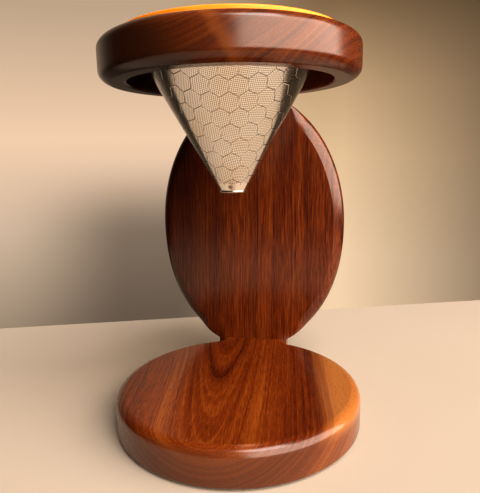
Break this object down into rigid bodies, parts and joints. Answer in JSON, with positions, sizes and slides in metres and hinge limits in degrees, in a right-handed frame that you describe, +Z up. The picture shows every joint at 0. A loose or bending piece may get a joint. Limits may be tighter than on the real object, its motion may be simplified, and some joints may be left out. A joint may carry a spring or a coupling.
{
  "type": "pour over dripper",
  "caption": "Wooden pour-over coffee stand with a round base, an oval upright and a ring that holds a lift-out conical steel mesh filter in a silicone collar.",
  "frame": {"origin": "centre of the footprint, on the surface that the feet stand on", "axes": "+Z up, +Y towards the upright, +X to the right of someone facing the dripper"},
  "size_m": [0.17, 0.194, 0.2566],
  "materials": {
    "walnut": "oiled and rubbed to a satin gloss",
    "plug_wood": "oiled, flush with the board",
    "zinc": "zinc plated",
    "mesh_steel": "etched with fine holes in a honeycomb of plain lines",
    "polished_steel": "polished",
    "silicone": "smooth satin silicone",
    "foot_rubber": "matt"
  },
  "bodies": {
    "stand": {"base_board": "walnut", "upright_board": "walnut", "ring_board": "walnut", "base_screw_left": "zinc", "base_screw_right": "zinc", "ring_screw_left": "zinc", "ring_screw_right": "zinc", "base_plug_left": "plug_wood", "base_plug_right": "plug_wood", "ring_plug_left": "plug_wood", "ring_plug_right": "plug_wood", "foot_rear_right": "foot_rubber", "foot_rear_left": "foot_rubber", "foot_front_left": "foot_rubber", "foot_front_right": "foot_rubber"},
    "collar": {"silicone_collar": "silicone"},
    "filter": {"outer_cone": "mesh_steel", "inner_cone": "mesh_steel", "tip_cap": "polished_steel", "rim_flange": "polished_steel"}
  },
  "joints": [
    {"name": "filter_lift", "type": "slide", "parent": "stand", "child": "collar", "axis": [0, 0, 1], "range_m": [0, 0.11]},
    {"name": "filter_turn", "type": "hinge", "parent": "collar", "child": "filter", "pos_m": [0, -0.015, 0.2545], "axis": [0, 0, 1], "continuous": true}
  ]
}
